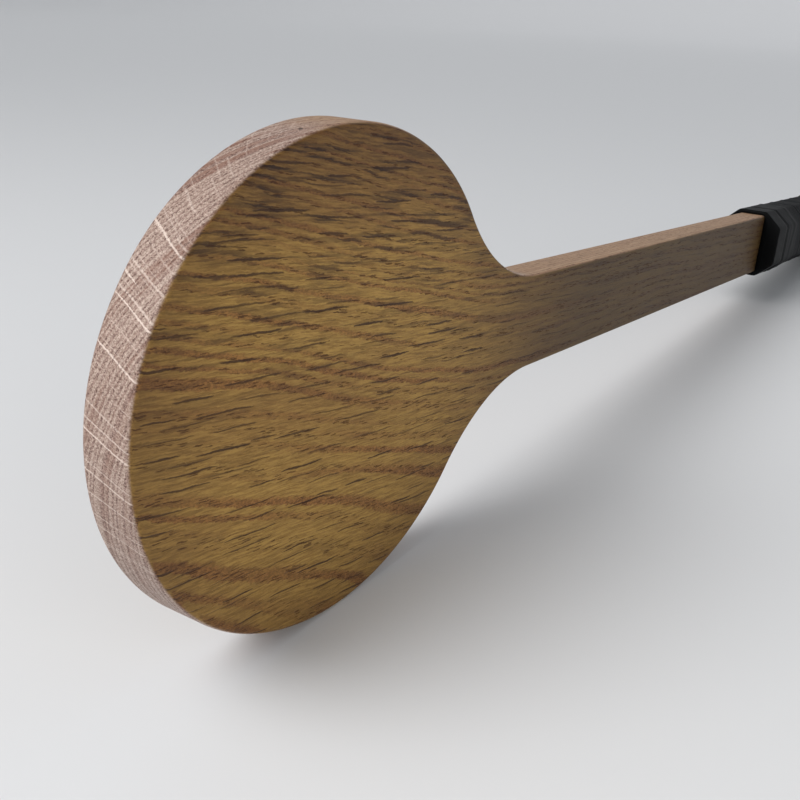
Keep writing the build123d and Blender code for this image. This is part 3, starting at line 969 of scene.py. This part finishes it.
def steel(name, tint, rough):
    """Plated steel: faint turning marks, tarnish and fine scratches."""
    finish = Finish(name)
    here = in_paddle_field(finish)
    marks = finish.noise(here, (0.12, 0.12, 1.5), 2.0)
    tarnish = finish.noise(here, (2.0, 2.0, 2.0), 3.0)
    metal = finish.mix(tarnish, tint, colour(120, 108, 88))
    bump = finish.bump(marks, 0.2, 0.00003)
    return finish.shade(Base_Color=metal, Metallic=1.0, Roughness=tarnish * 0.2 + rough,
                        Normal=bump)


def dress(node, material):
    """Gives every slot of a CAD node one material."""
    mesh = frame["nodes"][node].data
    if not mesh.materials:
        mesh.materials.append(material)
    for place in range(len(mesh.materials)):
        mesh.materials[place] = material


OAK = oak()
build_board(OAK)
build_collar(rubber())
build_cap(moulded("cap_plastic_black", colour(12, 12, 13), colour(24, 24, 26), 0.34, 0.5))
build_badge(moulded("badge_plastic_grey", colour(58, 60, 63), colour(84, 86, 90), 0.2, 0.34))
build_wrap(leather_finish())
build_tape(vinyl())
BEECH = cheek_wood()
dress("front_cheek", BEECH)
dress("back_cheek", BEECH)
dress("cheek_screws", steel("zinc_screw", colour(196, 192, 180), 0.28))
TACKS = steel("blued_tack", colour(92, 94, 104), 0.32)
dress("butt_cap_tacks", TACKS)
dress("wrap_start_tack", TACKS)


# ---------------------------------------------------------------- room, light and camera

FLOOR_RADIUS = 5.0         # metres
SWEEP_RADIUS = 2.0
WALL_HEIGHT = 3.1


def studio():
    """A pale paper sweep, soft daylight from the left and behind, a near window and weak fill.

    The sweep is a flat floor that turns up into a low wall all round: a profile of
    radius and height carried round a full circle.
    """
    bend = np.linspace(0.0, math.pi / 2, 13)
    radius = np.concatenate([[0.0, 1.0, 2.5, 4.0], FLOOR_RADIUS + SWEEP_RADIUS * np.sin(bend),
                             [FLOOR_RADIUS + SWEEP_RADIUS]])
    height = np.concatenate([np.zeros(4), SWEEP_RADIUS * (1 - np.cos(bend)), [WALL_HEIGHT]])
    turn = np.linspace(0.0, TAU, 97)[:-1]
    points = np.stack([radius[:, None] * np.cos(turn), radius[:, None] * np.sin(turn),
                       np.broadcast_to(height[:, None], (len(height), len(turn)))], -1)
    mesh = bpy.data.meshes.new("paper_sweep")
    mesh.from_pydata(points.reshape(-1, 3).tolist(), [],
                     grid_faces(len(radius), len(turn), column_ring=True)[:, ::-1].tolist())
    mesh.polygons.foreach_set("use_smooth", np.ones(len(mesh.polygons), bool))
    floor = bpy.data.objects.new("paper_sweep", mesh)
    bpy.context.scene.collection.objects.link(floor)
    finish = Finish("pale_paper")
    finish.shade(Base_Color=colour(224, 225, 227), Roughness=0.75)
    mesh.materials.append(finish.material)

    world = bpy.data.worlds.new("room")
    world.use_nodes = True
    background = world.node_tree.nodes["Background"]
    background.inputs["Color"].default_value = (0.84, 0.88, 0.92, 1.0)
    background.inputs["Strength"].default_value = 0.33
    bpy.context.scene.world = world

    def lamp(name, kind, place, target, size, power, tint):
        light = bpy.data.lights.new(name, kind)
        if kind == "SUN":
            light.angle = size
        else:
            light.shape = "DISK"
            light.size = size
        light.energy = power
        light.color = tint
        holder = bpy.data.objects.new(name, light)
        bpy.context.scene.collection.objects.link(holder)
        holder.location = place
        aim = Vector(target) - Vector(place)
        holder.rotation_euler = aim.to_track_quat("-Z", "Y").to_euler()

    middle = tuple(HEAD)
    lamp("daylight", "SUN", (-0.95, 0.45, 1.05), middle, 0.9, 1.45, (1.0, 0.99, 0.98))
    lamp("window", "AREA", (-0.85, 0.35, 0.75), middle, 0.6, 4.4, (1.0, 0.98, 0.96))
    lamp("fill", "AREA", (-0.50, -0.62, 0.32), middle, 0.5, 1.1, (1.0, 0.97, 0.90))


CAMERA_PLACE = (-0.41170, -0.13273, 0.14023)   # metres
CAMERA_TURN = math.radians(57.681)             # from +Y towards +X
CAMERA_DIP = math.radians(21.461)
CAMERA_ROLL = math.radians(3.050)
CAMERA_LENS = 45.951                           # millimetres, on a sensor SENSOR wide
SENSOR = 36.0


def camera():
    """Camera low in front of the head, looking down the shaft."""
    level = math.cos(CAMERA_DIP)
    forward = Vector((math.sin(CAMERA_TURN) * level, math.cos(CAMERA_TURN) * level,
                      -math.sin(CAMERA_DIP)))
    right = forward.cross(Vector((0, 0, 1))).normalized()
    up = right.cross(forward)
    right, up = (math.cos(CAMERA_ROLL) * right + math.sin(CAMERA_ROLL) * up,
                 math.cos(CAMERA_ROLL) * up - math.sin(CAMERA_ROLL) * right)
    data = bpy.data.cameras.new("camera")
    data.lens = CAMERA_LENS
    data.sensor_width = SENSOR
    data.clip_start = 0.01
    holder = bpy.data.objects.new("camera", data)
    bpy.context.scene.collection.objects.link(holder)
    facing = Matrix((right, up, -forward)).transposed().to_4x4()
    holder.matrix_world = Matrix.Translation(Vector(CAMERA_PLACE)) @ facing
    bpy.context.scene.camera = holder


studio()
camera()
bpy.context.scene.view_settings.view_transform = "Standard"
